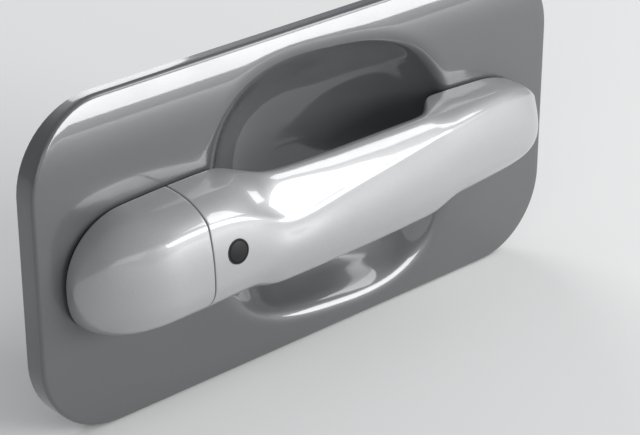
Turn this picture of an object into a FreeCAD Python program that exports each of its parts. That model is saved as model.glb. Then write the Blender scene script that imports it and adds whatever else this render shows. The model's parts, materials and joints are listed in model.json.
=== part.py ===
import FreeCAD, Part
import math
import os

# Car door pull handle, strap type, for a right-hand door. Millimetres.
# While it is drawn, y = 0 is the outside of the door skin: +X runs along the handle
# towards the front of the car, -Y points out of the door and +Z is up. On export every
# piece moves by -SEAT_Y, so that the middle of the two fixing holes is the origin.

V = FreeCAD.Vector
X_DIR, Y_DIR, Z_DIR = V(1, 0, 0), V(0, 1, 0), V(0, 0, 1)

# ---- driving dimensions ----
SEAT_Y = 14.0                     # depth of the fixing plane behind the door skin
PAN_X, PAN_Z, PAN_CX = 134.0, 68.0, -4.0   # half sizes and centre of the skin panel
PAN_CORNER, PAN_T, PAN_HEM = 34.0, 1.0, 10.0
ROLL_Z, ROLL_R = 44.0, 60.0       # the panel's top edge rolls back above this height
BOWL_CX, BOWL_CZ = 8.0, -0.5      # finger bowl: centre, half sizes, squareness, lean
BOWL_A, BOWL_B, BOWL_N, BOWL_LEAN = 67.0, 60.5, 2.8, -0.09
SEAM_X, SEAM_GAP = -79.0, 0.5     # joint between the fixed end cap and the lever
WALL, FIT = 2.4, 0.1              # moulded wall, and the gap where the liner fits
GASKET_T = 0.9                    # under the feet, which stand 1.3 clear of the skin
PIVOT_X, PIVOT_Y, PIN_R = 105.0, 8.0, 2.5
RUN = 0.05                        # radial running clearance
CRANK_Y, CRANK_Z, CRANK_R, CRANK_REST = 30.0, -27.0, 30.0, 27.0
ARM_X0, ARM_X1 = -68.0, -63.0     # the pull arm's plate
FIX_X, FIX_R = 121.0, 2.75        # two M5 fixing holes
BTN_X, BTN_Z, BTN_TILT = -67.4, 4.3, 8.0
BTN_D = 29.3                      # depth of the form's surface at the button
BTN_R, BTN_HOLE_R = 4.4, 5.0

# The handle's cross-section along x: top, bottom, front depth, then the height and the
# depth of the soft crease between the upper face and the front face.
FORM = [
    (-126, 23.0, -25.0, 29.0, 15.3, 25.5), (-105, 24.0, -25.0, 29.5, 15.8, 26.0),
    (-92, 24.8, -24.8, 29.8, 17.3, 26.3), (-78, 25.3, -24.5, 30.0, 17.9, 26.5),
    (-66, 25.6, -24.0, 30.0, 16.8, 26.5), (-57, 25.6, -23.6, 30.0, 14.8, 26.6),
    (-50, 25.0, -23.3, 30.0, 11.5, 26.8), (-44, 24.3, -23.1, 30.0, 8.2, 27.0),
    (-38, 23.7, -22.9, 30.0, 6.8, 27.3), (-28, 23.1, -22.8, 29.9, 7.4, 27.2),
    (-10, 22.6, -22.6, 29.6, 10.2, 26.8), (20, 22.5, -22.2, 28.7, 13.6, 25.5),
    (50, 22.4, -21.4, 26.8, 16.6, 23.4), (70, 21.8, -20.8, 24.9, 17.6, 21.2),
    (88, 20.9, -20.2, 22.8, 17.4, 18.9), (100, 20.2, -19.6, 21.2, 16.8, 17.3),
    (116, 19.4, -19.0, 19.5, 16.0, 15.4)]
# Depth of the handle's back along x: down at the feet, up behind the fingers.
BACK = [(-130, 1.3), (-57, 1.3), (-54, 2.2), (-50, 6.0), (-46, 9.6), (-42, 11.5),
        (-37, 12.0), (39, 12.0), (44, 11.4), (48, 9.0), (52, 5.6), (56, 2.2),
        (59, 1.3), (98, 1.3), (118, 3.6)]
STATIONS = [-126.0, -125.6, -124.9, -123.8, -122.2, -120, -117, -113, -108, -102, -96,
            -89, -82, -75, -68, -62, -57, -54, -51, -48, -45, -42, -38, -32, -22, -8,
            8, 24, 36, 40, 44, 48, 52, 56, 60, 66, 74, 82, 89, 95, 100, 104, 107,
            109.8, 112.2, 114.1, 115.5, 116.3, 116.8]


# ---- helpers ----
def box(x0, x1, y0, y1, z0, z1):
    return Part.makeBox(x1 - x0, y1 - y0, z1 - z0, V(x0, y0, z0))


def rod(radius, start, axis, length):
    return Part.makeCylinder(radius, length, start, axis)


def tube(r_out, r_in, start, axis, length):
    return rod(r_out, start, axis, length).cut(rod(r_in, start, axis, length))


def fuse(shapes):
    return shapes[0].multiFuse(shapes[1:]).removeSplitter() if len(shapes) > 1 else shapes[0]


def smooth(rows, x, column=1):
    """Value at x on a smooth curve through the rows of a table."""
    if x <= rows[0][0]:
        return rows[0][column]
    if x >= rows[-1][0]:
        return rows[-1][column]
    i = max(k for k in range(len(rows) - 1) if rows[k][0] <= x)
    slopes = []
    for k in (i, i + 1):
        lo, hi = max(k - 1, 0), min(k + 1, len(rows) - 1)
        slopes.append((rows[hi][column] - rows[lo][column]) / (rows[hi][0] - rows[lo][0]))
    x0, x1, v0, v1 = rows[i][0], rows[i + 1][0], rows[i][column], rows[i + 1][column]
    t = (x - x0) / (x1 - x0)
    h = (x1 - x0) * (t * (1 - t) ** 2 * slopes[0] - t * t * (1 - t) * slopes[1])
    return v0 + (v1 - v0) * t * t * (3 - 2 * t) + h


def end_round(x, start, tip, power):
    """1 along the handle, falling to 0 at the rounded tip."""
    u = max(0.0, (x - start) / (tip - start))
    return (1 - min(u, 1.0) ** power) ** (1 / power)


# ---- the handle's outer form ----
def form(x, inset):
    """Top, bottom, front depth, crease height, crease depth, back depth at x."""
    top, bottom, front, crease_z, crease_d = [smooth(FORM, x, c) for c in range(1, 6)]
    back = smooth(BACK, x)
    front_end = end_round(x, 86, 117.4 - inset, 2.3)
    over = min(end_round(x, -100, -126.4 + inset, 2.1), front_end)
    under = min(end_round(x, -100, -126.4 + inset, 2.7), front_end)
    deep = min(end_round(x, -94, -126.9 + inset, 1.9), end_round(x, 97, 117.8 - inset, 2.1))
    mid = -2.2 * (1 - over) if x < 0 else -0.6 * (1 - over)
    low = min(back, 1.3)
    return (mid + (top - inset) * over, mid + (bottom + inset) * under,
            low + (front - low - inset) * deep, mid + (crease_z - 0.5 * inset) * over,
            low + (crease_d - low - 0.8 * inset) * deep, back)


def bezier(points, x):
    curve = Part.BezierCurve()
    curve.setPoles([V(x, -d, z) for d, z in points])
    return curve.toShape()


def section(x, inset, back_shift):
    """One closed cross-section. Depth d is measured outwards from the door skin."""
    top, bottom, front, crease_z, crease_d, back = form(x, inset)
    grip = (back - 1.3) / 10.7 if -60 < x < 62 else 0.0
    corner = 0.6 + 3.4 * grip
    if back_shift < 0:
        corner = 0.4
    d0 = back + back_shift
    steep = math.radians(42 + 14 * grip)
    lean = math.radians(16 - 4 * grip)
    low_z = bottom + 0.36 * (top - bottom)
    start_d = d0 + corner
    reach, drop = crease_d - start_d, top - crease_z
    soft = 0.05 * (reach + drop)
    c1 = (crease_d - soft * math.cos(steep), crease_z + soft * math.sin(steep))
    c2 = (crease_d + soft * math.sin(lean), crease_z - soft * math.cos(lean))
    pull = 0.30 * math.hypot(reach, drop)
    upper = [(start_d, top), (start_d + 0.42 * reach, top),
             (c1[0] - pull * math.cos(steep), c1[1] + pull * math.sin(steep)), c1]
    step = 0.35 * (crease_z - low_z)
    face = [c2, (c2[0] + step * math.sin(lean), c2[1] - step * math.cos(lean)),
            (front, low_z + step), (front, low_z)]
    lower = [(front, low_z), (front, low_z - 0.62 * (low_z - bottom)),
             (front - 0.52 * (front - start_d), bottom), (start_d, bottom)]
    edges = [bezier(upper, x), bezier([c1, (crease_d, crease_z), c2], x), bezier(face, x),
             bezier(lower, x),
             bezier([(start_d, bottom), (d0, bottom), (d0, bottom + corner)], x),
             bezier([(d0, bottom + corner), (d0, top - corner)], x),
             bezier([(d0, top - corner), (d0, top), (start_d, top)], x)]
    return Part.Wire(edges)


def body(inset, back_shift, x_from=-200, x_to=200):
    xs = [x for x in STATIONS if x_from + 0.6 < x < x_to - 0.6]
    xs = ([x_from] if x_from > -200 else []) + xs + ([x_to] if x_to < 200 else [])
    return Part.makeLoft([section(x, inset, back_shift) for x in xs], True, False)


def outline(x0, x1, inset, y, depth):
    """A flat pad of the handle's footprint."""
    xs = [x0 + (x1 - x0) * (0.5 - 0.5 * math.cos(math.pi * k / 28)) for k in range(29)]
    tops = [V(x, y, form(x, 0)[0] - inset) for x in xs]
    lows = [V(x, y, form(x, 0)[1] + inset) for x in reversed(xs)]
    edges = []
    for points in (tops, lows):
        curve = Part.BSplineCurve()
        curve.interpolate(points)
        edges.append(curve.toShape())
    edges.insert(1, Part.makeLine(tops[-1], lows[0]))
    edges.append(Part.makeLine(lows[-1], tops[0]))
    return Part.Face(Part.Wire(edges)).extrude(V(0, depth, 0))


# ---- panel, gaskets and carrier ----
def roll(z):
    """How far the panel's outside lies behind y = 0 at height z."""
    return max(0.0, z - ROLL_Z) ** 2 / (2 * ROLL_R)


def bowl_ring(offset, depth, rolled=True):
    """The bowl's outline, drawn in by offset, at a depth behind the skin."""
    points = []
    blend = min(1.0, max(0.0, 1 - (offset - 1) / 20)) if rolled else 0
    for k in range(40):
        a = 2 * math.pi * k / 40
        c, s = math.cos(a), math.sin(a)
        x = (BOWL_A - offset) * math.copysign(abs(c) ** (2 / BOWL_N), c)
        z = (BOWL_B - offset) * math.copysign(abs(s) ** (2 / BOWL_N), s)
        z += BOWL_CZ + BOWL_LEAN * x
        points.append(V(BOWL_CX + x, depth + blend * roll(z), z))
    curve = Part.BSplineCurve()
    curve.interpolate(points, True)
    return Part.Wire(curve.toShape())


BOWL_PROFILE = [(0.0, 0.12), (1.1, 0.2), (2.5, 0.65), (4.4, 1.8), (6.6, 4.0), (9.6, 7.6),
                (14.0, 12.2), (20.0, 16.8), (28.0, 20.9), (37.0, 23.7), (46.0, 25.0),
                (54.0, 25.4)]


def bowl_rings(thickness):
    """The bowl's rings from mouth to floor, moved out by a wall thickness."""
    rings = []
    for k, (offset, depth) in enumerate(BOWL_PROFILE):
        lo, hi = BOWL_PROFILE[max(k - 1, 0)], BOWL_PROFILE[min(k + 1, len(BOWL_PROFILE) - 1)]
        run, fall = hi[0] - lo[0], hi[1] - lo[1]
        size = math.hypot(run, fall)
        rings.append(bowl_ring(offset - thickness * fall / size,
                               depth + thickness * run / size))
    return rings


def bowl_wall():
    """The pressed bowl as one closed wall, sewn from its two sides, mouth and floor."""
    near, far = bowl_rings(0), bowl_rings(PAN_T)
    faces = Part.makeLoft(near, False, False).Faces + Part.makeLoft(far, False, False).Faces
    faces += Part.makeLoft([near[0], far[0]], False, True).Faces
    shell = Part.makeShell(faces + [Part.Face(near[-1]), Part.Face(far[-1])])
    shell.sewShape()
    wall = Part.makeSolid(shell if shell.ShapeType == "Shell" else shell.Shells[0])
    if wall.Volume < 0:
        wall.reverse()
    return wall


def rounded_plate(half_x, half_z, corner, y0, y1):
    plate = box(PAN_CX - half_x, PAN_CX + half_x, y0, y1, -half_z, half_z)
    uprights = [e for e in plate.Edges if abs(e.tangentAt(e.FirstParameter).y) > 0.9]
    return plate.makeFillet(corner, uprights)


def behind_skin(depth):
    """Everything at least this far behind the panel's rolled outside."""
    line = [V(-150, depth + roll(z), z) for z in [ROLL_Z + 3 * k for k in range(11)]]
    curve = Part.BSplineCurve()
    curve.interpolate(line)
    ends = [V(-150, 40, line[-1].z), V(-150, 40, -80), V(-150, depth, -80), line[0]]
    edges = [curve.toShape(), Part.makeLine(line[-1], ends[0])]
    edges += [Part.makeLine(ends[k], ends[k + 1]) for k in range(3)]
    return Part.Face(Part.Wire(edges)).extrude(V(300, 0, 0))


def panel_openings(grow, y0, y1):
    """The holes behind the two feet: cap leg, pull arm, harness and hinge arm."""
    g = grow
    return fuse([box(-106 - g, -90 + g, y0, y1, -8 - g, 8 + g),
                 box(-76 - g, -60 + g, y0, y1, -11.5 - g, 11.5 + g),
                 rod(5.2 + g, V(86, y0, 0), Y_DIR, y1 - y0),
                 box(96.5 - g, 110.5 + min(g, 0.3), y0, y1, -10.3 - min(g, 0.3), 10.3 + min(g, 0.3))])


def recess_panel():
    tray = rounded_plate(PAN_X, PAN_Z, PAN_CORNER, -5, PAN_HEM).common(behind_skin(0))
    tray = tray.cut(rounded_plate(PAN_X - PAN_T, PAN_Z - PAN_T, PAN_CORNER - PAN_T,
                                  -5, PAN_HEM + 1).common(behind_skin(PAN_T)))
    mouth = Part.Face(bowl_ring(0.6, -3, False)).extrude(V(0, 9, 0))
    tray = tray.cut(mouth).fuse(bowl_wall())
    return tray.cut(panel_openings(0, -1, 3))


def gasket(x0, x1):
    pad = outline(x0, x1, 1.2, -GASKET_T, GASKET_T).cut(panel_openings(1.0, -2, 1))
    return max(pad.Solids, key=lambda solid: solid.Volume)


def carrier():
    rear = box(-118, -59.6, 1, 20, -17, 17)
    rear = rear.cut(box(-107.5, -88.5, 0, 16, -9, 9))
    rear = rear.cut(box(-80, -61.5, 0, 21, -11.8, 11.8)).cut(box(-80, -61.5, 9, 21, -18, 0))
    rear = rear.cut(rod(2.7, V(-119, 6.5, 0), X_DIR, 15))
    front = box(78, 118, 1, 20, -17, 17)
    front = front.cut(box(94.5, 113.5, 0, 16, -10.5, 10.5))
    front = front.cut(rod(7.5, V(86, 0, 0), Y_DIR, 21))
    rail = box(-61.5, 80, 28, 30.5, -12, 12)
    sides = [box(-61.5, 80, 28, 37, z, z + 2.5) for z in (-12, 9.5)]
    ribs = [box(x, x + 2, 28, 35, -12, 12) for x in range(-46, 70, 18)]
    ears = [box(-104, -100, 8, 37, -36, -8), box(-61.5, -58, 8, 37, -36, -8),
            box(-61.5, -58, 18, 58, -10, 8), box(-74, -58, 55.1, 58, -6, 6),
            box(78, 82, 19, 37, -6.8, 6.8)]
    feet = []
    for side in (-1, 1):
        feet += [box(min(side * 115, side * FIX_X), max(side * 115, side * FIX_X), 12, 16, -7, 7),
                 rod(7.0, V(side * FIX_X, 12, 0), Y_DIR, 4)]
    whole = fuse([rear, front, rail] + sides + ribs + ears + feet)
    for side in (-1, 1):
        whole = whole.cut(rod(4.2, V(side * FIX_X, 11, 0), Y_DIR, 9))
    for x, z in STUDS:
        whole = whole.cut(rod(2.7, V(x, 0, z), Y_DIR, 21))
    whole = whole.cut(rod(PIN_R + RUN, V(PIVOT_X, PIVOT_Y, -18), Z_DIR, 36))
    return whole.cut(rod(PIN_R + RUN, V(-110, CRANK_Y, CRANK_Z), X_DIR, 60))


STUDS = [(x, z) for x in (-114, 86) for z in (-12.5, 12.5)]


def weld_studs():
    return [rod(2.4, V(x, PAN_T, z), Y_DIR, 25).cut(
        rod(0.9, V(x, 24, z), Y_DIR, 3)) for x, z in STUDS]


def hexagon(radius, start, length):
    corners = [V(start.x + radius * math.cos(math.pi * k / 3), start.y,
                 start.z + radius * math.sin(math.pi * k / 3)) for k in range(7)]
    return Part.Face(Part.makePolygon(corners)).extrude(V(0, length, 0))


def flange_nuts():
    return [rod(5.4, V(x, 20, z), Y_DIR, 1.2).fuse(hexagon(4.6, V(x, 21, z), 3.6)).cut(
        rod(2.45, V(x, 19, z), Y_DIR, 7)) for x, z in STUDS]


def ear_sleeves():
    return [tube(4.15, FIX_R, V(side * FIX_X, 12, 0), Y_DIR, 4) for side in (-1, 1)]


def harness_grommet():
    ring = fuse([rod(6.1, V(86, -0.9, 0), Y_DIR, 0.9), rod(5.15, V(86, -0.1, 0), Y_DIR, 1.3),
                 Part.makeCone(6.4, 5.0, 4, V(86, 1.05, 0), Y_DIR)])
    return ring.cut(rod(3.0, V(86, -2, 0), Y_DIR, 9))


def stop_pad():
    pad = box(-71, -64, 52.6, 55.1, -4, 4)
    return pad.cut(fuse([box(x, x + 0.9, 52.5, 53.3, -4, 4) for x in (-69.4, -67.9, -66.4)]))


# ---- end cap ----
def cap_core(cavity):
    plate = cavity.common(box(-123, -70, -4.4, -1.4, -40, 40))
    ribs = [cavity.common(box(x, x + 2, -22, -3, -40, 40)) for x in (-112, -86)]
    spine = cavity.common(box(-118, -86, -20, -3, -1, 1))
    leg = box(-104, -92, -6, 13, -6, 6)
    return fuse([plate, leg, spine] + ribs).cut(rod(2.5, V(-106, 6.5, 0), X_DIR, 15))


def cap_screw():
    head = rod(4.4, V(-121.2, 6.5, 0), X_DIR, 3.2)
    head = head.makeFillet(0.8, [e for e in head.Edges if e.BoundBox.XMax < -121.1])
    star = fuse([turned(box(-122, -119.4, 5.9, 7.1, -2.2, 2.2), V(0, 6.5, 0), X_DIR, a)
                 for a in (0, 60, 120)])
    return head.fuse(rod(2.45, V(-118.5, 6.5, 0), X_DIR, 25)).cut(star)


def turned(shape, about, axis, angle):
    copy = shape.copy()
    copy.rotate(about, axis, angle)
    return copy


# ---- lever ----
def at_button(shape):
    """Move a piece drawn around +Z onto the request button's place and tilt."""
    copy = shape.copy()
    copy.rotate(V(0, 0, 0), X_DIR, 90 - BTN_TILT)
    copy.translate(V(BTN_X, -BTN_D, BTN_Z))
    return copy


SCREWS = [(-67.0, 14.5), (-67.0, -14.5), (96.0, 8.0), (96.0, -8.5)]


def lever_shell(outer, cavity):
    shell = outer.cut(cavity)
    bosses = [rod(3.2, V(x, -7.5, z), V(0, -1, 0), 30).common(outer) for x, z in SCREWS]
    shell = fuse([shell] + bosses)
    for x, z in SCREWS:
        shell = shell.cut(rod(1.45, V(x, -7, z), V(0, -1, 0), 8.5))
    return shell.cut(at_button(rod(BTN_HOLE_R, V(0, 0, -6), Z_DIR, 10)))


def lever_liner(outer, cavity):
    liner = outer.common(cavity).cut(body(1.0, 2.4, SEAM_X, 115.5))
    liner = liner.cut(box(-74, -61.5, -20, 5, -8.5, 8.5)).cut(box(99, 109.5, -20, 5, -9.9, 9.9))
    liner = liner.cut(box(79.8, 92.2, -6, 5, -5.2, 5.2))
    liner = liner.cut(box(92.8, 108.2, -8, -3.95, -13.2, 13.2))
    for x, z in SCREWS:
        liner = liner.cut(rod(3.3, V(x, 2, z), V(0, -1, 0), 8))
    return max(liner.Solids, key=lambda solid: solid.Volume)


def pull_arm(cavity):
    outline_yz = [(-5, -7), (32, -7), (35.1, -9), (39.1, -9), (39.1, 3.2), (48.1, 3.2),
                  (48.1, -9), (52.1, -9), (52.1, 10.6), (35.1, 10.6), (32, 7), (-5, 7)]
    wire = Part.makePolygon([V(ARM_X0, y, z) for y, z in outline_yz + outline_yz[:1]])
    plate = Part.Face(wire).extrude(V(ARM_X1 - ARM_X0, 0, 0))
    plate = plate.cut(rod(4.5, V(ARM_X0 - 1, 43.6, 3.2), X_DIR, 8))
    base = cavity.common(box(-75.6, -57.5, -7.4, -4.1, -19, 19))
    gusset = box(-65.5, -62.5, -5, 6, -5, 5)
    arm = fuse([plate, base, gusset])
    for x, z in SCREWS[:2]:
        arm = arm.cut(rod(1.6, V(x, -3, z), V(0, -1, 0), 6))
    return arm


def hinge_arm(cavity):
    base = cavity.common(box(93, 108, -7.4, -4.1, -13, 13))
    web = box(100.2, 108.2, -5, PIVOT_Y, -9.5, 9.5)
    hub = rod(5.5, V(PIVOT_X, PIVOT_Y, -9.5), Z_DIR, 19)
    arm = fuse([base, web, hub]).cut(rod(3.85, V(PIVOT_X, PIVOT_Y, -12), Z_DIR, 24))
    for x, z in SCREWS[2:]:
        arm = arm.cut(rod(1.6, V(x, -3, z), V(0, -1, 0), 6))
    return arm.cut(box(102.2, 106.4, -4.9, 1.5, -7, -1)).cut(box(102.2, 106.4, -4.9, 1.5, 1, 7))


def hinge_bushes():
    bushes = []
    for side in (-1, 1):
        axis = V(0, 0, -side)
        bush = rod(5.0, V(PIVOT_X, PIVOT_Y, side * 10.1), axis, 0.6).fuse(
            rod(3.8, V(PIVOT_X, PIVOT_Y, side * 10.1), axis, 8.6))
        bushes.append(bush.cut(rod(PIN_R + RUN, V(PIVOT_X, PIVOT_Y, side * 12), axis, 14)))
    return bushes


def pivot_pin():
    pin = rod(PIN_R, V(PIVOT_X, PIVOT_Y, -17), Z_DIR, 34)
    head = rod(4.0, V(PIVOT_X, PIVOT_Y, 17), Z_DIR, 1.4)
    return pin.fuse(head.makeFillet(0.6, [head.Edges[0]]))


def lever_screws():
    screws = []
    for x, z in SCREWS:
        head = rod(2.9, V(x, -2.2, z), V(0, -1, 0), 1.9)
        cross = fuse([box(x - 1.8, x + 1.8, -3.2, -2, z - 0.4, z + 0.4),
                      box(x - 0.4, x + 0.4, -3.2, -2, z - 1.8, z + 1.8)])
        screws.append(head.fuse(rod(1.4, V(x, -4, z), V(0, -1, 0), 11)).cut(cross))
    return screws


def antenna_cradle():
    tray = box(-48, 50, -17.2, -14.9, -10, 10)
    clips = [box(x, x + 2.4, -22.4, -15, z, z + 1.8) for x in (-11, 40.5)
             for z in (-6.9, 5.1)]
    posts = [box(x, x + 3, -18.2, -15, -8, 8) for x in (-46, -26)]
    return fuse([tray] + clips + posts)


def antenna_coil():
    bobbin = box(-6, 38, -23.0, -17.4, -4.9, 4.9)
    grooves = fuse([box(x, x + 0.8, -24, -22.8, -6, 6) for x in range(-4, 37, 2)])
    return bobbin.cut(grooves).cut(box(-16, 48, -22.05, -18.45, -4.05, 4.05))


def board_chips():
    return [box(-43, -36, -21.2, -19.6, -4, 3), box(-33, -29, -20.9, -19.6, 0, 4),
            box(-33, -30, -20.6, -19.6, -6, -3), box(-41, -39, -20.4, -19.6, 5, 7)]


def cable(points, radius):
    curve = Part.BSplineCurve()
    curve.interpolate([V(*p) for p in points])
    path = Part.Wire(curve.toShape())
    start = curve.tangent(curve.FirstParameter)[0]
    ring = Part.Wire(Part.makeCircle(radius, V(*points[0]), start))
    return path.makePipeShell([ring], True, False)


def lever_lead():
    return [cable([(-60.6, -21.6, 0.5), (-56, -21, 0), (-51.5, -19.6, 0), (-46.3, -18.9, 0)], 1.0),
            cable([(46.4, -20, 0), (54, -18.6, 0.5), (64, -13, 1), (72, -8, 0.5), (79.8, -7, 0)], 1.0)]


def lever_socket():
    shroud = box(80, 92, -11, -1.5, -5, 5).cut(box(81.4, 90.6, -9, 0, -3.6, 3.6))
    return shroud.cut(fuse(socket_pins()))


def socket_pins():
    return [box(x, x + 0.6, -10.5, -4, z, z + 0.6) for x in (83, 85.7, 88.4) for z in (-1.8, 1.2)]


# ---- request button ----
def button_bezel():
    return at_button(tube(4.95, BTN_R + 0.08, V(0, 0, -2.7), Z_DIR, 2.95))


def request_button():
    cap = rod(BTN_R, V(0, 0, -2.2), Z_DIR, 4).common(Part.makeSphere(20, V(0, 0, -19.2)))
    stem = rod(2.5, V(0, 0, -5.0), Z_DIR, 3.2)
    foot = rod(3.6, V(0, 0, -5.6), Z_DIR, 0.7)
    return at_button(fuse([cap, stem, foot]))


def switch_housing():
    cup = rod(6.6, V(0, 0, -10.2), Z_DIR, 5.7).cut(rod(4.6, V(0, 0, -8.7), Z_DIR, 5))
    return at_button(cup)


def switch_cap():
    return at_button(tube(6.6, 2.55, V(0, 0, -4.5), Z_DIR, 1.1))


def switch_dome():
    dome = rod(3.6, V(0, 0, -8.7), Z_DIR, 2).common(Part.makeSphere(4.2, V(0, 0, -10.8)))
    return at_button(dome)


# ---- bellcrank, drawn about its own axis ----
def at_crank(shape):
    copy = shape.copy()
    copy.rotate(V(0, 0, 0), X_DIR, -CRANK_REST)
    copy.translate(V(0, CRANK_Y, CRANK_Z))
    return copy


def bellcrank():
    hub = rod(7, V(-98, 0, 0), X_DIR, 25)
    finger = box(-78, -73, -5, 5, 0, CRANK_R).fuse(rod(5, V(-78, 0, CRANK_R), X_DIR, 5))
    rod_arm = box(-98, -93, 0, 22, -5, 5).fuse(rod(5, V(-98, 22, 0), X_DIR, 5))
    tail = box(-78, -73, -5, 5, -17, 0).fuse(rod(5, V(-78, 0, -17), X_DIR, 5))
    spigot = rod(2.5, V(-90, 0, -17), X_DIR, 13)
    crank = fuse([hub, finger, rod_arm, tail, spigot])
    crank = crank.cut(rod(PIN_R + RUN, V(-99, 0, 0), X_DIR, 30))
    crank = crank.cut(rod(1.95, V(-79, 0, CRANK_R), X_DIR, 7))
    return at_crank(crank.cut(rod(2.9, V(-99, 22, 0), X_DIR, 7)))


def counterweight():
    return at_crank(tube(6.5, 2.55, V(-91, 0, -17), X_DIR, 12.8))


def hook_pin():
    return at_crank(rod(1.9, V(-78, 0, CRANK_R), X_DIR, 15.5).fuse(
        rod(2.8, V(-63.2, 0, CRANK_R), X_DIR, 1.2)))


def hook_roller():
    return at_crank(tube(3.0, 1.95, V(-72.7, 0, CRANK_R), X_DIR, 9.3))


def rod_clip():
    return at_crank(tube(2.85, 2.0, V(-99, 22, 0), X_DIR, 7.5).fuse(
        tube(4.2, 2.0, V(-99.6, 22, 0), X_DIR, 1.5)))


def bellcrank_pin():
    pin = rod(PIN_R, V(-107.5, CRANK_Y, CRANK_Z), X_DIR, 50)
    return pin.fuse(rod(3.8, V(-58, CRANK_Y, CRANK_Z), X_DIR, 1.4))


def pin_clip():
    ring = tube(4.6, PIN_R, V(-105.2, CRANK_Y, CRANK_Z), X_DIR, 1.0)
    return ring.cut(box(-106, -104, CRANK_Y - 1.6, CRANK_Y + 1.6, CRANK_Z - 6, CRANK_Z))


def return_spring():
    """A torsion spring: fixed leg on the carrier's back, four turns, leg on the finger."""
    r, x0, x1 = 8.6, -85.4, -79.8
    first, last = math.radians(180), math.radians(180 + 4 * 360 + 153)
    points = [(x0, CRANK_Y - r, CRANK_Z + h) for h in (15, 10, 5)]
    for k in range(54):
        a = first + (last - first) * k / 53
        points.append((x0 + (x1 - x0) * k / 53, CRANK_Y + r * math.cos(a),
                       CRANK_Z + r * math.sin(a)))
    c, s = math.cos(math.radians(CRANK_REST)), math.sin(math.radians(CRANK_REST))
    for x, along, side in ((x1, 5, 7.9), (-79.6, 10, 6.4), (-78.4, 12, 5.9), (-75, 12.2, 5.9)):
        points.append((x, CRANK_Y + along * s + side * c, CRANK_Z + along * c - side * s))
    return cable(points, 0.55)


# ---- write every piece ----
def save(name, shapes):
    shapes = shapes if isinstance(shapes, list) else [shapes]
    solids = [solid for shape in shapes for solid in shape.Solids]
    piece = solids[0].copy() if len(solids) == 1 else Part.makeCompound(solids)
    piece.translate(V(0, -SEAT_Y, 0))
    print(name, len(solids), piece.isValid(), round(piece.Volume), piece.BoundBox)
    piece.exportStep("parts/" + name + ".step")


def main():
    os.makedirs("parts", exist_ok=True)
    outer = body(0, 0, SEAM_X + SEAM_GAP / 2)
    cap_end, lever_end = SEAM_X - 2.8, SEAM_X + 2.8
    save("recess_panel", recess_panel())
    save("carrier", carrier())
    save("rear_gasket", gasket(-124.6, -56))
    save("front_gasket", gasket(58.5, 113.0))
    save("weld_studs", weld_studs())
    save("flange_nuts", flange_nuts())
    save("ear_sleeves", ear_sleeves())
    save("harness_grommet", harness_grommet())
    save("stop_pad", stop_pad())
    cap = body(0, 0, -200, SEAM_X - SEAM_GAP / 2)
    save("end_cap", cap.cut(body(WALL, -4, -123, cap_end)))
    save("cap_core", cap_core(body(WALL + 6 * FIT, -4, -122.4, cap_end - 3 * FIT)))
    save("cap_screw", cap_screw())
    save("lever_shell", lever_shell(outer, body(WALL, -4, lever_end, 113.6)))
    save("lever_liner", lever_liner(outer, body(WALL + FIT, -4, lever_end + FIT, 113.4)))
    inside = body(WALL + 0.5, -4, lever_end + FIT, 112)
    save("pull_arm", pull_arm(inside))
    save("hinge_arm", hinge_arm(inside))
    save("hinge_bushes", hinge_bushes())
    save("pivot_pin", pivot_pin())
    save("lever_screws", lever_screws())
    save("antenna_cradle", antenna_cradle())
    save("antenna_core", box(-14, 46, -22, -18.5, -4, 4))
    save("antenna_coil", antenna_coil())
    save("sensor_board", box(-46, -23, -19.6, -18.2, -9, 9))
    save("board_chips", board_chips())
    save("lever_lead", lever_lead())
    save("lever_socket", lever_socket())
    save("socket_pins", socket_pins())
    save("button_bezel", button_bezel())
    save("request_button", request_button())
    save("switch_housing", switch_housing())
    save("switch_cap", switch_cap())
    save("switch_dome", switch_dome())
    save("bellcrank", bellcrank())
    save("counterweight", counterweight())
    save("hook_pin", hook_pin())
    save("hook_roller", hook_roller())
    save("rod_clip", rod_clip())
    save("bellcrank_pin", bellcrank_pin())
    save("pin_clip", pin_clip())
    save("return_spring", return_spring())


main()
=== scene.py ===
import json
import math

import bmesh
import bpy
import numpy as np
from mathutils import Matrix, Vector


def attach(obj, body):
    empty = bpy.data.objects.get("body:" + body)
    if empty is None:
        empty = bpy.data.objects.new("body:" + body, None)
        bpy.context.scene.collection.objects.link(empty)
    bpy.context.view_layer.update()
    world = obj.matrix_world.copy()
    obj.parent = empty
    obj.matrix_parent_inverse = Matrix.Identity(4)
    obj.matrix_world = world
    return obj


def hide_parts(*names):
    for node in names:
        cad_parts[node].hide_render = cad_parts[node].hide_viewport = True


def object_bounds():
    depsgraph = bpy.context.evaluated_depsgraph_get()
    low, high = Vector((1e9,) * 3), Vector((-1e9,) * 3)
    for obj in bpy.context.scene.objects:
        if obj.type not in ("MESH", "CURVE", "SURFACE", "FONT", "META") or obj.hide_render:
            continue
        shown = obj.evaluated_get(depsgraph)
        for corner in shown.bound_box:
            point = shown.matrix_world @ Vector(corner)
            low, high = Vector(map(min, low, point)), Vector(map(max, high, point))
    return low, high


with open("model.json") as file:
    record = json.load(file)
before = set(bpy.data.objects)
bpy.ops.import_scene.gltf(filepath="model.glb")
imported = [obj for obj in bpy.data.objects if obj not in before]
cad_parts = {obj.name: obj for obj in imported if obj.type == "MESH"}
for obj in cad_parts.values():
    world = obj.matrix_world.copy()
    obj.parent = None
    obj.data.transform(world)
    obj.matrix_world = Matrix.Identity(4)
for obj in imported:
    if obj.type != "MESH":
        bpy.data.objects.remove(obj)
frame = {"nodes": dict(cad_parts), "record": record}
CAD_LO, CAD_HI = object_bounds()

MM = 0.001
SKIN_Y = -14.0            # the door skin's outside, in mm in the row frame

# ------------------------------------------------------------------ material nodes


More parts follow.
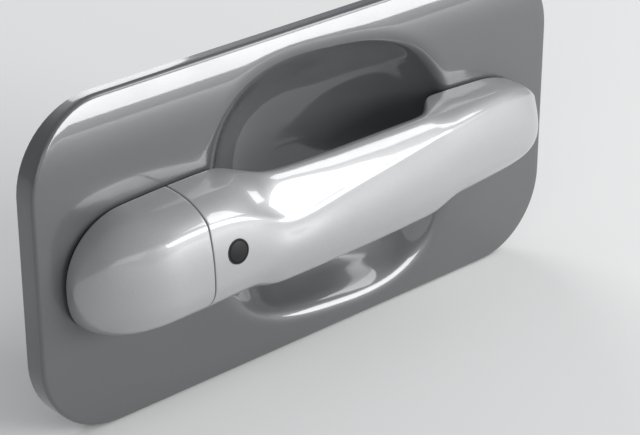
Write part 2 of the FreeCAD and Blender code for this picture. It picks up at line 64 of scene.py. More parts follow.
class Shader:
    """A material's node tree with short calls for the usual nodes."""

    def __init__(self, name):
        self.mat = bpy.data.materials.new(name)
        self.mat.use_nodes = True
        self.tree = self.mat.node_tree
        self.bsdf = self.tree.nodes["Principled BSDF"]
        self.coords = self.add("ShaderNodeTexCoord").outputs["Object"]

    def add(self, kind, inputs=None, **settings):
        node = self.tree.nodes.new(kind)
        for key, value in settings.items():
            setattr(node, key, value)
        for key, value in (inputs or {}).items():
            self.put(node.inputs[key], value)
        return node

    def put(self, socket, value):
        if isinstance(value, bpy.types.NodeSocket):
            self.tree.links.new(value, socket)
        else:
            socket.default_value = value

    def set(self, **values):
        """Shader inputs by name, with _ for each space."""
        for key, value in values.items():
            self.put(self.bsdf.inputs[key.replace("_", " ")], value)

    def noise(self, scale, detail=3.0, rough=0.55):
        node = self.add("ShaderNodeTexNoise", {"Vector": self.coords, "Scale": scale,
                                               "Detail": detail, "Roughness": rough})
        return node.outputs["Fac"]

    def cells(self, scale):
        node = self.add("ShaderNodeTexVoronoi", {"Vector": self.coords, "Scale": scale})
        return node.outputs["Distance"]

    def spread(self, fac, low, high, lo=0.0, hi=1.0):
        """A value between lo and hi turned into one between low and high."""
        node = self.add("ShaderNodeMapRange", {"Value": fac, "From Min": lo, "From Max": hi,
                                               "To Min": low, "To Max": high})
        return node.outputs["Result"]

    def mix(self, fac, a, b):
        """Two colours mixed; a and b are (r, g, b) or sockets."""
        node = self.add("ShaderNodeMix", data_type="RGBA")
        self.put(node.inputs[0], fac)
        for socket, value in ((node.inputs[6], a), (node.inputs[7], b)):
            self.put(socket, (*value, 1) if isinstance(value, tuple) else value)
        return node.outputs[2]

    def bump(self, height, strength, distance, normal=None):
        node = self.add("ShaderNodeBump", {"Height": height, "Strength": strength,
                                           "Distance": distance})
        if normal is not None:
            self.put(node.inputs["Normal"], normal)
        return node.outputs["Normal"]

    def edges(self, low, high):
        """Near 1 on the outside of sharp edges, from the mesh's own curvature."""
        return self.spread(self.add("ShaderNodeNewGeometry").outputs["Pointiness"],
                           0.0, 1.0, low, high)


# ------------------------------------------------------------------ materials


def brighter(color, factor, lift=0.0):
    return tuple(min(1, c * factor + lift) for c in color)


def paint(name, base, dark, rough, flake, coat_rough):
    """Metallic paint: slow clouds, fine flakes and a faint orange peel under a clear coat."""
    s = Shader(name)
    color = s.mix(s.spread(s.noise(9, 2, 0.5), 0, 1, 0.35, 0.65), base, dark)
    color = s.mix(s.spread(s.cells(5200), 0.0, flake, 0.1, 0.6), color, brighter(base, 1.5))
    handled = s.noise(38, 4, 0.6)
    s.set(Base_Color=color, Metallic=0.30, Coat_Weight=1.0, Coat_Roughness=coat_rough,
          Roughness=s.spread(handled, rough - 0.03, rough + 0.04, 0.35, 0.65))
    grain = s.bump(s.noise(3600, 1, 0.5), 0.03, 0.00005)
    s.set(Normal=s.bump(s.noise(420, 2, 0.5), 0.03, 0.0002, grain))
    return s.mat


def plastic(name, base, light, rough, grain_scale=1400, grain=0.18, depth=0.00006):
    """Grained moulded plastic, paler along its edges."""
    s = Shader(name)
    cloud = s.noise(30, 3, 0.55)
    color = s.mix(s.spread(cloud, 0, 1, 0.3, 0.7), base, light)
    color = s.mix(s.edges(0.53, 0.62), color, brighter(light, 2.0, 0.02))
    s.set(Base_Color=color, Roughness=s.spread(cloud, rough - 0.05, rough + 0.07, 0.3, 0.7),
          Normal=s.bump(s.cells(grain_scale), grain, depth))
    return s.mat


def rubber(name, base, light, rough):
    """Dull rubber with a little dust."""
    s = Shader(name)
    dust = s.noise(55, 5, 0.65)
    color = s.mix(s.spread(dust, 0, 0.8, 0.45, 0.75), base, light)
    s.set(Base_Color=color, Specular_IOR_Level=0.25,
          Roughness=s.spread(dust, rough - 0.06, rough + 0.08, 0.3, 0.7),
          Normal=s.bump(s.noise(2600, 2, 0.6), 0.22, 0.00004))
    return s.mat


def cast_metal(name, base, light, rough):
    """Blotchy die-cast metal, brighter along its edges."""
    s = Shader(name)
    blotch = s.noise(60, 4, 0.6)
    color = s.mix(s.spread(blotch, 0, 1, 0.3, 0.7), base, light)
    color = s.mix(s.edges(0.52, 0.6), color, brighter(light, 1.5))
    s.set(Base_Color=color, Metallic=0.9,
          Roughness=s.spread(blotch, rough - 0.08, rough + 0.1, 0.3, 0.7),
          Normal=s.bump(s.noise(900, 3, 0.6), 0.3, 0.00008))
    return s.mat


def plated(name, base, tint, rough):
    """Bright metal under a thin, uneven film."""
    s = Shader(name)
    color = s.mix(s.spread(s.noise(70, 3, 0.5), 0, 1, 0.35, 0.65), base, tint)
    turned = s.noise(900, 2, 0.5)
    s.set(Base_Color=color, Metallic=1.0,
          Roughness=s.spread(turned, rough - 0.06, rough + 0.08, 0.3, 0.7),
          Normal=s.bump(turned, 0.12, 0.00003))
    return s.mat


def wound_copper(name):
    """Enamelled wire, turn beside turn along X."""
    s = Shader(name)
    wire = s.add("ShaderNodeTexWave", {"Vector": s.coords, "Scale": 1500.0, "Distortion": 0.3,
                                       "Detail": 1.0}, bands_direction="X").outputs["Fac"]
    s.set(Base_Color=s.mix(wire, (0.30, 0.10, 0.03), (0.78, 0.36, 0.16)), Metallic=0.7,
          Roughness=s.spread(wire, 0.4, 0.22), Normal=s.bump(wire, 0.5, 0.0001))
    return s.mat


def circuit(name):
    """Green lacquer over a grid of tracks."""
    s = Shader(name)
    tracks = s.add("ShaderNodeTexBrick", {"Vector": s.coords, "Scale": 260.0,
                                          "Mortar Size": 0.03, "Color1": (0.012, 0.11, 0.04, 1),
                                          "Color2": (0.016, 0.13, 0.05, 1),
                                          "Mortar": (0.05, 0.26, 0.10, 1)})
    s.set(Base_Color=tracks.outputs["Color"], Coat_Weight=0.5,
          Roughness=s.spread(s.noise(300), 0.3, 0.42, 0.3, 0.7),
          Normal=s.bump(tracks.outputs["Fac"], 0.3, 0.00005))
    return s.mat


MATERIALS = {
    "paint_silver": paint("paint_silver", (0.29, 0.293, 0.297), (0.273, 0.276, 0.28),
                          0.40, 0.35, 0.06),
    "paint_graphite": paint("paint_graphite", (0.088, 0.089, 0.092), (0.074, 0.075, 0.079),
                            0.36, 0.30, 0.05),
    "black_plastic": plastic("black_plastic", (0.016, 0.016, 0.017), (0.026, 0.026, 0.028), 0.5),
    "filled_nylon": plastic("filled_nylon", (0.022, 0.022, 0.024), (0.04, 0.04, 0.043), 0.55,
                            700, 0.3, 0.0001),
    "soft_rubber": rubber("soft_rubber", (0.014, 0.014, 0.015), (0.03, 0.03, 0.031), 0.62),
    "button_rubber": rubber("button_rubber", (0.008, 0.008, 0.009), (0.014, 0.014, 0.015), 0.50),
    "zinc_cast": cast_metal("zinc_cast", (0.40, 0.41, 0.43), (0.52, 0.53, 0.55), 0.45),
    "steel": plated("steel", (0.60, 0.60, 0.61), (0.66, 0.63, 0.55), 0.28),
    "spring_steel": plated("spring_steel", (0.42, 0.42, 0.43), (0.50, 0.48, 0.44), 0.32),
    "acetal": plastic("acetal", (0.72, 0.70, 0.64), (0.78, 0.76, 0.71), 0.35, 900, 0.08),
    "ferrite": plastic("ferrite", (0.035, 0.035, 0.038), (0.06, 0.06, 0.063), 0.6, 1800, 0.35),
    "copper": wound_copper("copper"),
    "board": circuit("board"),
    "chip": plastic("chip", (0.014, 0.014, 0.015), (0.03, 0.03, 0.032), 0.45, 2400, 0.25),
    "brass": plated("brass", (0.72, 0.55, 0.25), (0.78, 0.62, 0.33), 0.25),
    "lead_jacket": plastic("lead_jacket", (0.018, 0.018, 0.02), (0.03, 0.03, 0.033), 0.4, 600, 0.1),
}

SLOT_OF = {s["node"]: s["material_slot"] for s in frame["record"]["subparts"]}
for node_name, node in frame["nodes"].items():
    node.data.materials.clear()
    node.data.materials.append(MATERIALS[SLOT_OF[node_name]])

# ------------------------------------------------------------------ the handle's form

FOOT_D, GRIP_D = 1.3, 12.0                  # depth of the back at the feet and along the grip

# Along x: top, bottom, front depth, crease height, crease depth. Depth is measured
# outwards from the door skin, everything in mm.
FORM = np.array([
    (-126, 23.0, -25.0, 29.0, 15.3, 25.5), (-105, 24.0, -25.0, 29.5, 15.8, 26.0),
    (-92, 24.8, -24.8, 29.8, 17.3, 26.3), (-78, 25.3, -24.5, 30.0, 17.9, 26.5),
    (-66, 25.6, -24.0, 30.0, 16.8, 26.5), (-57, 25.6, -23.6, 30.0, 14.8, 26.6),
    (-50, 25.0, -23.3, 30.0, 11.5, 26.8), (-44, 24.3, -23.1, 30.0, 8.2, 27.0),
    (-38, 23.7, -22.9, 30.0, 6.8, 27.3), (-28, 23.1, -22.8, 29.9, 7.4, 27.2),
    (-10, 22.6, -22.6, 29.6, 10.2, 26.8), (20, 22.5, -22.2, 28.7, 13.6, 25.5),
    (50, 22.4, -21.4, 26.8, 16.6, 23.4), (70, 21.8, -20.8, 24.9, 17.6, 21.2),
    (88, 20.9, -20.2, 22.8, 17.4, 18.9), (100, 20.2, -19.6, 21.2, 16.8, 17.3),
    (116, 19.4, -19.0, 19.5, 16.0, 15.4)])
BACK = np.array([
    (-130, FOOT_D), (-57, FOOT_D), (-54, 2.2), (-50, 6.0), (-46, 9.6), (-42, 11.5),
    (-37, GRIP_D), (39, GRIP_D), (44, 11.4), (48, 9.0), (52, 5.6), (56, 2.2), (59, FOOT_D),
    (98, FOOT_D), (118, 3.6)])
FINE_STEP = 0.25
FINE_X = np.arange(-150.0, 140.0, FINE_STEP)
FORM_BLUR, BACK_BLUR = 3.2, 1.3             # how widely the corners of FORM and BACK are rounded
SEAM_X, SEAM_HALF = -79.0, 0.25
TIP_X, REAR_X = 117.38, -126.38
WALL = 2.4

# Where an end begins to round off, the tip that it rounds to and the power of its curve.
FRONT_END = (86, 117.4, 2.3)
FRONT_END_DEPTH = (97, 117.8, 2.1)
REAR_END_TOP = (-100, -126.4, 2.1)
REAR_END_FOOT = (-100, -126.4, 2.7)
REAR_END_DEPTH = (-94, -126.9, 1.9)
REAR_TIP_Z, FRONT_TIP_Z = -2.2, -0.6

# The section. A pair is the value at the feet and what the grip adds to it.
GRIP_FROM, GRIP_TO = -60, 62
CORNER = (0.6, 3.4)                         # size of the corners at the back
STEEP = (42, 14)                            # degrees that the top falls by at the crease
LEAN = (16, -4)                             # degrees that the face below it leans outwards
FULL_AT = 0.36                              # height of the fullest level, as a share
CREASE_SOFT = 0.05                          # size of the crease's rounding, as a share
CREASE_INSET_D, CREASE_INSET_Z = 0.8, 0.5   # how much of an inset the crease takes
RIM_SHARE = 0.35                            # most of a thin tip's height that a rim takes
INNER_START, INNER_CUT = 0.5, 0.52          # the inner skin's corners start late and end early
# Lengths of the curves' handles, as shares of what each curve spans.
TOP_HANDLE, CREASE_HANDLE, FACE_HANDLE, UNDER_HANDLE, FOOT_HANDLE = 0.42, 0.30, 0.35, 0.62, 0.52
TOP_POINTS, CREASE_POINTS, FACE_POINTS, UNDER_POINTS, CORNER_POINTS = 26, 12, 24, 30, 9


def blurred(values, width):
    """The same curve with its corners rounded over a width, ends kept."""
    reach = int(4 * width / FINE_STEP)
    kernel = np.exp(-0.5 * (np.arange(-reach, reach + 1) * FINE_STEP / width) ** 2)
    return np.convolve(np.pad(values, reach, mode="edge"), kernel / kernel.sum(), mode="valid")


FORM_CURVES = [blurred(np.interp(FINE_X, FORM[:, 0], FORM[:, k]), FORM_BLUR) for k in range(1, 6)]
BACK_CURVE = blurred(np.interp(FINE_X, BACK[:, 0], BACK[:, 1]), BACK_BLUR)


def end_round(x, start, tip, power):
    """1 along the handle, falling to 0 at the rounded tip."""
    u = min(1.0, max(0.0, (x - start) / (tip - start)))
    return (1 - u ** power) ** (1 / power)


def bezier(points, count):
    """Points along a Bezier curve, without its last one."""
    t = np.linspace(0, 1, count, endpoint=False)[:, None]
    n = len(points) - 1
    return sum(math.comb(n, k) * (1 - t) ** (n - k) * t ** k * np.array(p)
               for k, p in enumerate(points))


def levels(x, inset):
    """The section's heights and depths at x, drawn in by an inset and closed in at the tips."""
    top, bottom, front, crease_z, crease_d = [np.interp(x, FINE_X, c) for c in FORM_CURVES]
    back = np.interp(x, FINE_X, BACK_CURVE)
    front_end = end_round(x, *FRONT_END)
    over = min(end_round(x, *REAR_END_TOP), front_end)
    under = min(end_round(x, *REAR_END_FOOT), front_end)
    deep = min(end_round(x, *REAR_END_DEPTH), end_round(x, *FRONT_END_DEPTH))
    mid = (REAR_TIP_Z if x < 0 else FRONT_TIP_Z) * (1 - over)
    low = min(back, FOOT_D)
    top, bottom = mid + (top - inset) * over, mid + (bottom + inset) * under
    front = low + (front - low - inset) * deep
    crease_d = low + (crease_d - low - CREASE_INSET_D * inset) * deep
    crease_z = mid + (crease_z - CREASE_INSET_Z * inset) * over
    return top, bottom, front, crease_z, crease_d, back


def face_curves(top, bottom, front, crease_z, crease_d, start_d, grip):
    """From the top's edge over the crease, down the face and under to the foot's edge."""
    steep = math.radians(STEEP[0] + STEEP[1] * grip)
    lean = math.radians(LEAN[0] + LEAN[1] * grip)
    full_z = bottom + FULL_AT * (top - bottom)
    reach, drop = crease_d - start_d, top - crease_z
    soft = CREASE_SOFT * (reach + drop)
    above = (crease_d - soft * math.cos(steep), crease_z + soft * math.sin(steep))
    below = (crease_d + soft * math.sin(lean), crease_z - soft * math.cos(lean))
    pull = CREASE_HANDLE * math.hypot(reach, drop)
    step = FACE_HANDLE * (crease_z - full_z)
    return [
        bezier([(start_d, top), (start_d + TOP_HANDLE * reach, top),
                (above[0] - pull * math.cos(steep), above[1] + pull * math.sin(steep)), above],
               TOP_POINTS),
        bezier([above, (crease_d, crease_z), below], CREASE_POINTS),
        bezier([below, (below[0] + step * math.sin(lean), below[1] - step * math.cos(lean)),
                (front, full_z + step), (front, full_z)], FACE_POINTS),
        bezier([(front, full_z), (front, full_z - UNDER_HANDLE * (full_z - bottom)),
                (front - FOOT_HANDLE * (front - start_d), bottom), (start_d, bottom)],
               UNDER_POINTS)]


def profile(x, inset, inner):
    """The section at x from the back of its top, round the front, to the back of its foot."""
    top, bottom, front, crease_z, crease_d, back = levels(x, inset)
    grip = (back - FOOT_D) / (GRIP_D - FOOT_D) if GRIP_FROM < x < GRIP_TO else 0.0
    corner = CORNER[0] + CORNER[1] * grip
    start_d = back + corner
    face = face_curves(top, bottom, front, crease_z, crease_d, start_d, grip)
    if inner:
        share = np.linspace(0, 1, CORNER_POINTS)[:, None]
        first = np.array([(back + INNER_START, top)] * CORNER_POINTS)
        first = first + share * [corner - INNER_CUT, 0]
        last = np.flip(first, 0) * [1, 0] + [0, bottom]
    else:
        rim = min(WALL, RIM_SHARE * (top - bottom))
        t = np.linspace(max(0.0, 1 - math.sqrt(rim / corner)), 1, CORNER_POINTS, endpoint=False)
        first = np.stack([back + corner * t ** 2, top - corner * (1 - t) ** 2], 1)
        first[0] = (first[0][0], top - rim)
        last = np.flip(first, 0) * [1, -1] + [0, top + bottom]
    return np.concatenate([first] + face + [[(start_d, bottom)], last])


def to_row(x, depth, z):
    """Millimetres along, outwards from the door skin and up, as a place in the row frame."""
    return (x * MM, (SKIN_Y - depth) * MM, z * MM)


# ------------------------------------------------------------------ mesh helpers

SHARP_ANGLE = math.radians(38)
WELD = 2e-6


def linked(name, data):
    """A new object in the scene for a mesh, a lamp or a camera."""
    obj = bpy.data.objects.new(name, data)
    bpy.context.collection.objects.link(obj)
    return obj


def mesh_object(name, verts, faces):
    mesh = bpy.data.meshes.new(name)
    mesh.from_pydata(verts, [], faces)
    return linked(name, mesh)


def turn_outward(mesh):
    """Weld points that coincide and turn every face outwards."""
    work = bmesh.new()
    work.from_mesh(mesh)
    bmesh.ops.remove_doubles(work, verts=work.verts, dist=WELD)
    bmesh.ops.recalc_face_normals(work, faces=work.faces)
    work.to_mesh(mesh)
    work.free()


def cut_away(piece, tool):
    """Take a closed tool mesh out of a piece and delete the tool."""
    bpy.context.view_layer.update()
    cutter = piece.modifiers.new("cut", "BOOLEAN")
    cutter.operation, cutter.solver, cutter.object = "DIFFERENCE", "MANIFOLD", tool
    result = piece.evaluated_get(bpy.context.evaluated_depsgraph_get())
    piece.data, old = bpy.data.meshes.new_from_object(result), piece.data
    piece.modifiers.clear()
    bpy.data.meshes.remove(old)
    bpy.data.objects.remove(tool)


def add_piece(name, verts, faces, body, node, slot, cuts=()):
    """A mesh object with outward normals that takes the place of a CAD node."""
    piece = mesh_object(name, verts, faces)
    turn_outward(piece.data)
    for tool in cuts:
        cut_away(piece, tool)
    mesh = piece.data
    mesh.materials.clear()
    mesh.materials.append(MATERIALS[slot])
    mesh.shade_smooth()
    mesh.set_sharp_from_angle(angle=SHARP_ANGLE)
    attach(piece, body)
    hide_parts(node)
    return piece


def prism(outline, place):
    """A closed prism over an outline; place(u, v, end) gives a vertex for end 0 or 1."""
    n = len(outline)
    verts = [place(u, v, end) for end in (0, 1) for u, v in outline]
    faces = [list(range(n))[::-1], list(range(n, 2 * n))]
    faces += [(k, (k + 1) % n, n + (k + 1) % n, n + k) for k in range(n)]
    tool = mesh_object("tool", verts, faces)
    turn_outward(tool.data)
    return tool


def circle(radius, count, u0=0.0):
    turn = np.linspace(0, 2 * math.pi, count, endpoint=False)
    return [(u0 + radius * math.cos(a), radius * math.sin(a)) for a in turn]


def rectangle(x0, x1, half_z):
    return [(x0, -half_z), (x1, -half_z), (x1, half_z), (x0, half_z)]


def spaced(start, end, step):
    """Stations about a step apart, without the last one."""
    return list(np.linspace(start, end, max(2, round(abs(end - start) / step) + 1))[:-1])


def toward_tip(start, tip, count=40, power=2.6):
    """Stations that crowd together towards a rounded tip."""
    return [tip + (start - tip) * (1 - k / count) ** power for k in range(count)] + [tip]


# ------------------------------------------------------------------ lever and cap

SEAM_STEPS, SEAM_NEXT = (0.0, 0.1, 0.3), 0.8     # the first stations inside the seam
SEAM_INSETS = [0.28, 0.08]                       # the broken edge at the first two of them
SEAM_WALL = 2.6
LEVER_INNER_X, CAP_INNER_X = 113.6, -123.0
POD_X, POD_END_X, FOOT_X, FOOT_END_X = -74, -60.5, 62, 84
CAP_ROUND_X = -100

BTN_X, BTN_Z, BTN_DEPTH, BTN_TILT = -67.4, 4.3, 29.3, math.radians(8)
BTN_R, BTN_HOLE_R, BTN_HOLE_REACH = 4.4, 5.0, 6
BTN_POINTS = 96


def at_button(u, v, w):
    """A place u across, v up and w outwards from the middle of the request button."""
    c, s = math.cos(BTN_TILT), math.sin(BTN_TILT)
    return to_row(BTN_X + u, BTN_DEPTH + w * c - v * s, BTN_Z + w * s + v * c)


def skin(name, xs, inner_from, inner_to, body, node, cuts=()):
    """A hollow moulding: outer skin, inner skin, the rims at the back and both end walls."""
    insets = SEAM_INSETS + [0.0] * (len(xs) - len(SEAM_INSETS))
    outer = [[to_row(x, d, z) for d, z in profile(x, i, False)] for x, i in zip(xs, insets)]
    span = (np.array(xs) - xs[0]) / (xs[-1] - xs[0])
    inner_xs = inner_from + span * (inner_to - inner_from)
    inner = [[to_row(x, d, z) for d, z in profile(x, WALL, True)] for x in inner_xs]
    rows, cols = len(xs), len(outer[0])
    verts = [v for row in outer + inner for v in row]

    def at(layer, i, j):
        return (layer * rows + i) * cols + j

    faces = [(at(w, i, j), at(w, i + 1, j), at(w, i + 1, j + 1), at(w, i, j + 1))
             for w in (0, 1) for i in range(rows - 1) for j in range(cols - 1)]
    for j in (0, cols - 1):
        faces += [(at(0, i, j), at(0, i + 1, j), at(1, i + 1, j), at(1, i, j))
                  for i in range(rows - 1)]
    for i in (0, rows - 1):
        faces += [[at(w, i, j) for j in range(cols)] for w in (0, 1)]
        faces.append((at(0, i, 0), at(0, i, cols - 1), at(1, i, cols - 1), at(1, i, 0)))
    return add_piece(name, verts, faces, body, node, "paint_silver", cuts)


def add_lever():
    edge = SEAM_X + SEAM_HALF
    xs = [edge + step for step in SEAM_STEPS] + spaced(edge + SEAM_NEXT, POD_X, 0.8)
    xs += spaced(POD_X, POD_END_X, 0.45) + spaced(POD_END_X, FOOT_X, 1.1)
    xs += spaced(FOOT_X, FOOT_END_X, 1.6) + toward_tip(FOOT_END_X, TIP_X)
    hole = prism(circle(BTN_HOLE_R, BTN_POINTS),
                 lambda u, v, end: at_button(u, v, BTN_HOLE_REACH * (2 * end - 1)))
    skin("lever_skin", xs, edge + SEAM_WALL, LEVER_INNER_X, "lever", "lever_shell", [hole])


def add_cap():
    edge = SEAM_X - SEAM_HALF
    xs = [edge - step for step in SEAM_STEPS] + spaced(edge - SEAM_NEXT, CAP_ROUND_X, 1.2)
    xs += toward_tip(CAP_ROUND_X, REAR_X)
    skin("cap_skin", xs, edge - SEAM_WALL, CAP_INNER_X, "base", "end_cap")


# ------------------------------------------------------------------ door panel

PAN_HALF_X, PAN_HALF_Z, PAN_CX, PAN_CORNER, PAN_T, PAN_HEM = 134.0, 68.0, -4.0, 34.0, 1.0, 10.0
EDGE_R = 1.5
ROLL_Z, ROLL_R = 44.0, 60.0
ROLL_FADE = 20.0                            # how far into the bowl the roll still shows
BOWL_CX, BOWL_CZ, BOWL_A, BOWL_B, BOWL_N, BOWL_LEAN = 8.0, -0.5, 67.0, 60.5, 2.8, -0.09
BOWL_DEPTH, BOWL_CROWN = 25.5, 0.1
# From the floor out over the lip: how far in from the bowl's outline, and how deep.
BOWL_PROFILE = np.array([
    (54.0, 25.4), (46.0, 25.0), (37.0, 23.7), (28.0, 20.9), (20.0, 16.8), (14.0, 12.2), (9.6, 7.6),
    (6.6, 4.0), (4.4, 1.8), (2.5, 0.65), (1.1, 0.2), (0.0, 0.06), (-1.5, 0.0), (-4.0, 0.0)])
LIP_BLUR, FLOOR_BLUR = 1.3, 5.0
LIP_FROM, LIP_OVER = 46.0, 12.0             # where along the profile the first blur takes over
FLOOR_SHARES = (0.12, 0.3, 0.5, 0.75)
RING_EVERY, FLAT_RINGS, EDGE_RINGS, HEM_RINGS = 4, 26, 7, 3
TURN = np.linspace(0, 2 * math.pi, 288, endpoint=False)
RAY_END, HALVINGS = 6.0, 40
LEG_SLOT, ARM_SLOT, HINGE_SLOT = (-106, -90, 8), (-76, -60, 11.5), (96.5, 110.5, 10.3)
HARNESS_X, HARNESS_R, HARNESS_POINTS = 86.0, 5.2, 72
HOLE_FRONT, HOLE_LENGTH = 2, 6              # the tools for these start in front of the skin


def roll(z):
    """How far the panel's outside falls back above its flat part."""
    return np.maximum(0.0, z - ROLL_Z) ** 2 / (2 * ROLL_R)


def bowl_outline(offset):
    """The bowl's outline drawn in by an offset, as x and z arrays."""
    c, s = np.cos(TURN), np.sin(TURN)
    x = (BOWL_A - offset) * np.copysign(np.abs(c) ** (2 / BOWL_N), c)
    z = (BOWL_B - offset) * np.copysign(np.abs(s) ** (2 / BOWL_N), s)
    return BOWL_CX + x, z + BOWL_CZ + BOWL_LEAN * x


def panel_outline(inset):
    """The rounded panel's outline on rays from the middle of the bowl."""
    x0, z0 = bowl_outline(0)
    dx, dz = x0 - BOWL_CX, z0 - BOWL_CZ
    near, far = np.zeros_like(dx), np.full_like(dx, RAY_END)
    for _ in range(HALVINGS):
        middle = (near + far) / 2
        px, pz = BOWL_CX + dx * middle - PAN_CX, BOWL_CZ + dz * middle
        qx = np.abs(px) - (PAN_HALF_X - PAN_CORNER)
        qz = np.abs(pz) - (PAN_HALF_Z - PAN_CORNER)
        rounded = np.hypot(np.maximum(qx, 0), np.maximum(qz, 0))
        outside = rounded + np.minimum(np.maximum(qx, qz), 0) - PAN_CORNER + inset > 0
        far, near = np.where(outside, middle, far), np.where(outside, near, middle)
    return BOWL_CX + dx * far, BOWL_CZ + dz * far


def floor_rings():
    """Rings from near the middle of the bowl's floor out to where its profile starts."""
    x, z = bowl_outline(BOWL_PROFILE[0, 0])
    return [(BOWL_CX + (x - BOWL_CX) * share, BOWL_CZ + (z - BOWL_CZ) * share,
             np.full_like(x, BOWL_DEPTH - BOWL_CROWN * share)) for share in FLOOR_SHARES]


def wall_rings():
    """Rings up the bowl's wall and over its lip."""
    steps = np.hypot(*np.diff(BOWL_PROFILE, axis=0).T)
    along = np.concatenate([[0], np.cumsum(steps)])
    fine = np.arange(0, along[-1], FINE_STEP)
    lip = np.clip((fine - LIP_FROM) / LIP_OVER, 0, 1)
    offsets, depths = [
        blurred(line, LIP_BLUR) * lip + blurred(line, FLOOR_BLUR) * (1 - lip)
        for line in (np.interp(fine, along, BOWL_PROFILE[:, k]) for k in (0, 1))]
    rings = []
    for k in list(range(0, len(fine), RING_EVERY)) + [len(fine) - 1]:
        x, z = bowl_outline(offsets[k])
        blend = min(1.0, max(0.0, 1 - (offsets[k] - 1) / ROLL_FADE))
        rings.append((x, z, depths[k] + blend * roll(z)))
    return rings


def border_rings():
    """Rings across the panel's flat part, round its edge and back along its hem."""
    rings = []
    (ax, az), (bx, bz) = bowl_outline(BOWL_PROFILE[-1, 0]), panel_outline(EDGE_R)
    for k in range(1, FLAT_RINGS + 1):
        x, z = ax + (bx - ax) * k / FLAT_RINGS, az + (bz - az) * k / FLAT_RINGS
        rings.append((x, z, roll(z)))
    for k in range(1, EDGE_RINGS + 1):
        a = math.pi / 2 * k / EDGE_RINGS
        x, z = panel_outline(EDGE_R * (1 - math.sin(a)))
        rings.append((x, z, roll(z) + EDGE_R * (1 - math.cos(a))))
    x, z = panel_outline(0)
    start = roll(z) + EDGE_R
    for k in range(1, HEM_RINGS + 1):
        rings.append((x, z, start + (PAN_HEM - start) * k / HEM_RINGS))
    return rings


def add_panel():
    """The pressed panel: its outside from ring to ring, and the same again one sheet inside."""
    rings = floor_rings() + wall_rings() + border_rings()
    outside = np.array([np.stack([x * MM, (SKIN_Y + depth) * MM, z * MM], 1)
                        for x, z, depth in rings])
    along = np.gradient(outside, axis=0)
    around = np.roll(outside, -1, axis=1) - np.roll(outside, 1, axis=1)
    normal = np.cross(along, around)
    normal /= np.linalg.norm(normal, axis=2, keepdims=True)
    if normal[0, 0, 1] < 0:
        normal = -normal
    inside = outside + normal * PAN_T * MM
    inside[-1, :, 1] = outside[-1, :, 1]
    middle = np.array([BOWL_CX, SKIN_Y + BOWL_DEPTH, BOWL_CZ]) * MM
    rows, cols = outside.shape[:2]
    verts = [tuple(v) for block in (outside, inside) for v in block.reshape(-1, 3)]
    verts += [tuple(middle), tuple(middle + [0, PAN_T * MM, 0])]

    def at(layer, i, j):
        return (layer * rows + i) * cols + j % cols

    faces = [(at(w, i, j), at(w, i + 1, j), at(w, i + 1, j + 1), at(w, i, j + 1))
             for w in (0, 1) for i in range(rows - 1) for j in range(cols)]
    faces += [(at(0, rows - 1, j), at(1, rows - 1, j), at(1, rows - 1, j + 1),
               at(0, rows - 1, j + 1)) for j in range(cols)]
    faces += [(2 * rows * cols + w, at(w, 0, j), at(w, 0, j + 1))
              for w in (0, 1) for j in range(cols)]

    holes = [rectangle(*LEG_SLOT), rectangle(*ARM_SLOT),
             circle(HARNESS_R, HARNESS_POINTS, HARNESS_X), rectangle(*HINGE_SLOT)]
    tools = [prism(hole, lambda u, v, end: to_row(u, HOLE_FRONT - HOLE_LENGTH * end, v))
             for hole in holes]
    add_piece("door_panel", verts, faces, "base", "recess_panel", "paint_graphite", tools)


# ------------------------------------------------------------------ request button

DOME_R, DOME_SINK = 20.0, 19.22
RIM_MID_R, RIM_MID_W, RIM_A, RIM_B = 3.85, -0.2, 0.55, 0.6


def add_button():
    """The domed request button as a turned piece: dome, rounded edge, skirt, stem and foot."""
    dome = [(0.02, 0.78)] + [(r, math.sqrt(DOME_R ** 2 - r * r) - DOME_SINK)
                             for r in np.linspace(0.5, 3.7, 9)]
    edge = [(RIM_MID_R + RIM_A * math.sin(a), RIM_MID_W + RIM_B * math.cos(a))
            for a in np.linspace(0.35, math.pi / 2, 7)]
    rest = [(BTN_R, -1.2), (BTN_R, -2.15), (BTN_R - 0.05, -2.2), (2.5, -2.2), (2.5, -4.9),
            (3.6, -4.9), (3.6, -5.6), (0.02, -5.6)]
    line = dome + edge + rest
    n = BTN_POINTS
    verts = [at_button(r * math.cos(a), r * math.sin(a), w) for r, w in line
             for a in np.linspace(0, 2 * math.pi, n, endpoint=False)]
    faces = [(i * n + j, i * n + (j + 1) % n, (i + 1) * n + (j + 1) % n, (i + 1) * n + j)
             for i in range(len(line) - 1) for j in range(n)]
    faces += [list(range(n)), list(range((len(line) - 1) * n, len(line) * n))]
    add_piece("button_skin", verts, faces, "button", "request_button", "button_rubber")


add_lever()
add_cap()
add_panel()
add_button()

# ------------------------------------------------------------------ camera, floor and light

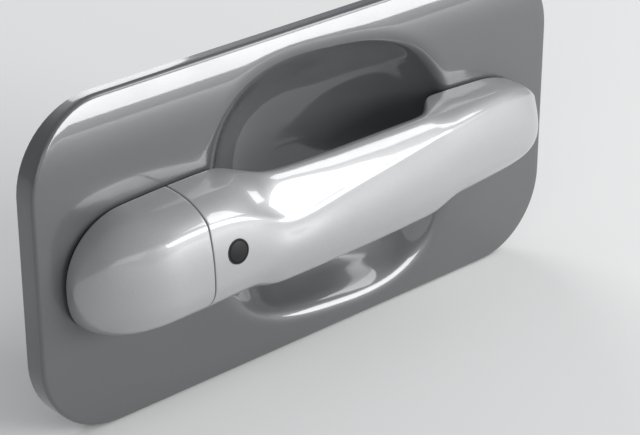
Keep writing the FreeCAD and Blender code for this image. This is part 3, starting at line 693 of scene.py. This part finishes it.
CAMERA_AZ, CAMERA_EL, CAMERA_REACH, CAMERA_LENS = -42.0, 25.7, 0.880, 123.0
AIM_X, AIM_LEFT, AIM_DOWN = 3.0 * MM, 0.0024, 0.0143
FLOOR_GAP, FLOOR_HALF = 0.0005, 4.0
SKY_COLOR, SKY_STRENGTH = (0.82, 0.85, 0.90, 1), 0.40
LIGHTS = (                                  # name, width and height, place, watts
    ("key", (1.35, 0.80), (0.96, -1.67, 0.53), 38.0),
    ("overhead", (0.6, 0.5), (0.90, -0.60, 1.03), 6.5),
    ("front_fill", (1.2, 1.0), (-0.9, -1.1, 0.5), 4.0),
    ("back_fill", (1.2, 0.8), (0.5, 1.6, 0.9), 12.0))


def directions(azimuth, elevation):
    """Unit vectors back to the viewer, to the viewer's right and up."""
    a, e = math.radians(azimuth), math.radians(elevation)
    back = Vector((math.sin(a) * math.cos(e), -math.cos(a) * math.cos(e), math.sin(e)))
    right = Vector((math.cos(a), math.sin(a), 0))
    return back, right, back.cross(right)


def aim(obj, place, target):
    obj.location = place
    obj.rotation_mode = "QUATERNION"
    obj.rotation_quaternion = (target - place).to_track_quat("-Z", "Y")


def add_camera():
    """Left of the handle and above it, with a long lens."""
    back, right, up = directions(CAMERA_AZ, CAMERA_EL)
    anchor = Vector((AIM_X, SKIN_Y * MM, 0.0))
    data = bpy.data.cameras.new("camera")
    data.lens, data.sensor_width = CAMERA_LENS, 36.0
    data.clip_start, data.clip_end = 0.05, 20
    cam = linked("camera", data)
    aim(cam, anchor + back * CAMERA_REACH, anchor - right * AIM_LEFT - up * AIM_DOWN)
    bpy.context.scene.camera = cam


def add_light(name, size, place, power):
    """A soft rectangular light aimed at the origin."""
    data = bpy.data.lights.new(name, "AREA")
    data.shape, data.size, data.size_y = "RECTANGLE", size[0], size[1]
    data.energy = power
    aim(linked(name, data), Vector(place), Vector((0, 0, 0)))


def add_floor():
    z, r = CAD_LO.z - FLOOR_GAP, FLOOR_HALF
    floor = mesh_object("floor", [(-r, -r, z), (r, -r, z), (r, r, z), (-r, r, z)], [(0, 1, 2, 3)])
    s = Shader("floor_pale")
    s.set(Base_Color=s.mix(s.noise(3, 2), (0.74, 0.74, 0.73), (0.77, 0.77, 0.76)), Roughness=0.85)
    floor.data.materials.append(s.mat)


def add_world():
    world = bpy.data.worlds.new("studio")
    world.use_nodes = True
    sky = world.node_tree.nodes["Background"]
    sky.inputs["Color"].default_value = SKY_COLOR
    sky.inputs["Strength"].default_value = SKY_STRENGTH
    bpy.context.scene.world = world


add_camera()
add_floor()
add_world()
for light in LIGHTS:
    add_light(*light)

bpy.context.scene.view_settings.view_transform = "Standard"
